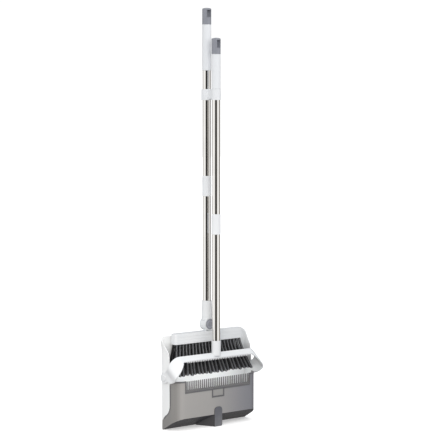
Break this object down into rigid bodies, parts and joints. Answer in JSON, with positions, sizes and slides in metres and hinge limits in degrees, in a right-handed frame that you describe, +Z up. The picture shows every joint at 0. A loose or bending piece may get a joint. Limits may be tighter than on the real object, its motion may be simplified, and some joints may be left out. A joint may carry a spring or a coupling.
{
  "type": "dustpan and brush",
  "caption": "Long-handled windproof dustpan on a folding bail, with its long-handled broom stored in the pan's mouth.",
  "frame": {"origin": "centre of the footprint on the floor", "axes": "+Z up along both handles, +X along the pan's width, -Y towards the hood's front"},
  "size_m": [0.3152, 0.08, 1.154],
  "materials": {
    "white_plastic": "satin",
    "smoked_plastic": "satin",
    "slate_plastic": "satin",
    "blue_grey_plastic": "satin",
    "steel_tube": "polished",
    "bristle_fibre": "matte"
  },
  "bodies": {
    "pan": {"pan_body": "white_plastic", "hood": "smoked_plastic", "hood_comb": "smoked_plastic", "foot": "slate_plastic", "pivot_pin_left": "white_plastic", "pivot_pin_right": "white_plastic"},
    "handle": {"bail": "white_plastic", "handle_lower_tube": "steel_tube", "handle_upper_tube": "steel_tube", "handle_joint_sleeve": "white_plastic", "handle_grip": "white_plastic", "handle_cap": "blue_grey_plastic", "pole_clip": "white_plastic"},
    "broom_head": {"broom_bar": "white_plastic", "bristles": "bristle_fibre"},
    "button": {"swivel_button": "blue_grey_plastic"},
    "broom_handle": {"broom_neck": "white_plastic", "broom_lower_tube": "steel_tube", "broom_upper_tube": "steel_tube", "broom_joint_sleeve": "white_plastic", "broom_grip": "white_plastic", "broom_cap": "blue_grey_plastic", "swivel_pin": "steel_tube"}
  },
  "joints": [
    {"name": "handle_fold", "type": "hinge", "parent": "pan", "child": "handle", "pos_m": [0, 0.024, 0.144], "axis": [1, 0, 0], "range_deg": [0, 75]},
    {"name": "broom_lift", "type": "slide", "parent": "pan", "child": "broom_head", "axis": [0, 0, 1], "range_m": [0, 0.18]},
    {"name": "broom_swivel", "type": "hinge", "parent": "broom_head", "child": "broom_handle", "pos_m": [0, 0.025, 0.281], "axis": [0, 1, 0], "range_deg": [0, 90]},
    {"name": "button_press", "type": "slide", "parent": "broom_handle", "child": "button", "axis": [0, 1, 0], "range_m": [0, 0.0025], "stiffness_N_per_m": 600, "springref_m": -0.001}
  ]
}
